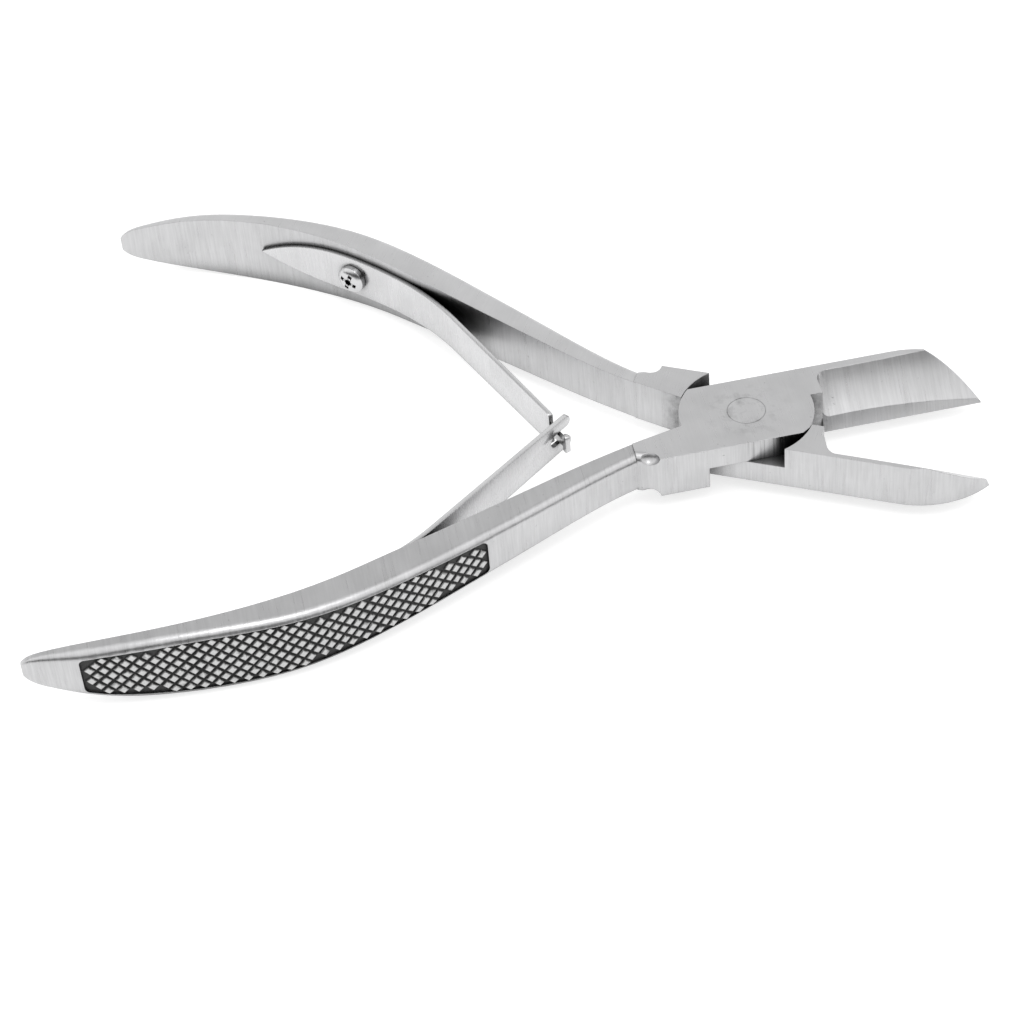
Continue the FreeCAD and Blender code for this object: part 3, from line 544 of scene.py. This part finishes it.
def grip_sheet(bm, panel):
    """Thin closed sheet that covers the panel's floor."""
    inset = 0.06
    heights = (0.05, -0.12)
    columns = 160
    rows = 12
    grid = []
    for column in range(columns + 1):
        along = GRIP_START + inset + (GRIP_END - GRIP_START - 2 * inset) * column / columns
        half = panel_half(along) - inset
        line = []
        for row in range(rows + 1):
            z = half * (2 * row / rows - 1)
            line.append([bm.verts.new(panel.at(along, z, height)) for height in heights])
        grid.append(line)
    for c in range(columns):
        for r in range(rows):
            for level in (0, 1):
                bm.faces.new([grid[c][r][level], grid[c + 1][r][level],
                              grid[c + 1][r + 1][level], grid[c][r + 1][level]])
    border = [(c, 0) for c in range(columns)] + [(columns, r) for r in range(rows)]
    border += [(c, rows) for c in range(columns, 0, -1)] + [(0, r) for r in range(rows, 0, -1)]
    for (c0, r0), (c1, r1) in zip(border, border[1:] + border[:1]):
        bm.faces.new([grid[c0][r0][0], grid[c1][r1][0], grid[c1][r1][1], grid[c0][r0][1]])


def tooth(bm, worn, panel, along, z):
    """One knurl tooth: a four sided pyramid with a worn flat top, cut off at the border."""
    end_gap = 0.12
    side_gap = 0.1
    layers = []
    for share, height in TOOTH:
        ring = []
        for step_u, step_z in ((1, 0), (0, 1), (-1, 0), (0, -1)):
            u = along + step_u * share * KNURL_PITCH / 2
            u = min(max(u, GRIP_START + end_gap), GRIP_END - end_gap)
            limit = panel_half(u) - side_gap
            v = min(max(z + step_z * share * KNURL_ROW, -limit), limit)
            vert = bm.verts.new(panel.at(u, v, height))
            vert[worn] = max(0.0, height / WORN_HEIGHT)
            ring.append(vert)
        layers.append(ring)
    for low, high in zip(layers, layers[1:]):
        for i in range(4):
            bm.faces.new([low[i], low[(i + 1) % 4], high[(i + 1) % 4], high[i]])
    bm.faces.new(layers[-1])
    bm.faces.new(layers[0][::-1])


def knurled_grip(lever, material):
    """Rows of cut diamonds on a thin blackened sheet in the lever's sunk panel."""
    end_margin = 0.5
    side_margin = 0.35
    rows_each_way = 6
    panel = Panel(lever)
    bm = bmesh.new()
    worn = bm.verts.layers.float.new("worn")
    grip_sheet(bm, panel)
    for row in range(-rows_each_way, rows_each_way + 1):
        z = row * KNURL_ROW
        along = GRIP_START + (KNURL_PITCH / 2 if row % 2 else 0)
        while along < GRIP_END:
            inside = GRIP_START + end_margin < along < GRIP_END - end_margin
            if inside and abs(z) < panel_half(along) - side_margin:
                tooth(bm, worn, panel, along, z)
            along += KNURL_PITCH
    made = finish_mesh(bm, lever.name + "_grip_knurl", material, 0.3)
    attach(made, lever.name)


# ---------------------------------------------------------------- stage

def floor(z):
    half = 3.0
    mesh = bpy.data.meshes.new("floor")
    mesh.from_pydata([(-half, -half, z), (half, -half, z), (half, half, z), (-half, half, z)],
                     [], [(0, 1, 2, 3)])
    made = bpy.data.objects.new("floor", mesh)
    bpy.context.scene.collection.objects.link(made)
    material, kit = new_material("floor_white")
    kit.add("ShaderNodeOutputMaterial", {"Surface": kit.add("ShaderNodeBsdfPrincipled", {
        "Base Color": grey(0.48), "Roughness": 0.7,
        "Emission Color": grey(1.0), "Emission Strength": 0.72,
    })})
    mesh.materials.append(material)


def camera():
    """About a 100 mm lens, in front of the tool and some 43 degrees above it."""
    data = bpy.data.cameras.new("camera")
    data.sensor_width = 36
    data.lens = 100.35
    data.clip_start = 0.01
    data.clip_end = 20
    made = bpy.data.objects.new("camera", data)
    bpy.context.scene.collection.objects.link(made)
    right = Vector((0.9966, 0.0496, -0.0666))
    up = Vector((0.0135, 0.6951, 0.7188))
    back = right.cross(up)
    turned = Matrix((right, up, back)).transposed().to_4x4()
    spot = Vector((-0.00016, -0.3387, 0.31295))
    made.matrix_world = Matrix.Translation(spot) @ turned
    bpy.context.scene.camera = made


def studio():
    """Soft white room with a dark stretch low in front, and one soft light overhead.

    The room's light runs round the X axis: 0 is the horizon behind, 0.5 overhead, 1 in front."""
    world = bpy.data.worlds.new("studio")
    bpy.context.scene.world = world
    world.use_nodes = True
    kit = Nodes(world.node_tree)
    direction = kit.add("ShaderNodeTexCoord").outputs["Generated"]
    parts = kit.add("ShaderNodeSeparateXYZ", {0: direction})
    angle = kit.math("ARCTAN2", parts.outputs["Z"], parts.outputs["Y"])
    share = kit.math("DIVIDE", angle, math.pi)
    ramp = kit.add("ShaderNodeValToRGB", {0: share})
    stops = [
        (0.00, 0.74), (0.15, 0.76), (0.21, 0.77), (0.25, 0.77), (0.29, 0.46), (0.37, 0.46), (0.43, 0.95),
        (0.50, 1.00), (0.62, 0.92), (0.78, 0.80), (0.84, 0.10), (0.96, 0.04), (1.00, 0.55),
    ]
    elements = ramp.color_ramp.elements
    elements[0].position, elements[0].color = stops[0][0], grey(stops[0][1])
    elements[1].position, elements[1].color = stops[-1][0], grey(stops[-1][1])
    for place, level in stops[1:-1]:
        elements.new(place).color = grey(level)
    kit.add("ShaderNodeOutputWorld", {"Surface": kit.add("ShaderNodeBackground", {
        "Color": ramp.outputs["Color"], "Strength": 1.35,
    })})
    data = bpy.data.lights.new("overhead", "AREA")
    data.shape = "DISK"
    data.size = 0.45
    data.energy = 1.3
    made = bpy.data.objects.new("overhead", data)
    bpy.context.scene.collection.objects.link(made)
    made.location = (0.08, -0.25, 0.95)
    made.rotation_euler = (math.radians(-15), math.radians(5), 0)
    bpy.context.scene.view_settings.view_transform = "Standard"


# ---------------------------------------------------------------- assembly

def new_look(node, material):
    node.data.materials.clear()
    node.data.materials.append(material)


spring_material = steel("spring_strip", 0.62, 0.26, FRONT.turn, marks=0.6, pits=0.5)
screw_material = steel("screw_bright", 0.60, 0.22, marks=0.4, pits=0.4)
rivet_material = steel("rivet_ground", 0.56, 0.30, FRONT.turn, joint=True)
grip_material = knurl_material("grip_knurl")
for lever, pattern in ((FRONT, front_pattern()), (REAR, rear_pattern())):
    lever_material = steel(lever.name + "_lever_steel", turn=lever.turn, joint=True)
    new_look(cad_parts[lever.name + "_lever"], lever_material)
    new_look(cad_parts[lever.name + "_spring_screw"], screw_material)
    leaf_spring(lever, pattern, spring_material)
    knurled_grip(lever, grip_material)
new_look(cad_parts["pivot_rivet"], rivet_material)

camera()
floor(cad_box[0].z)
studio()
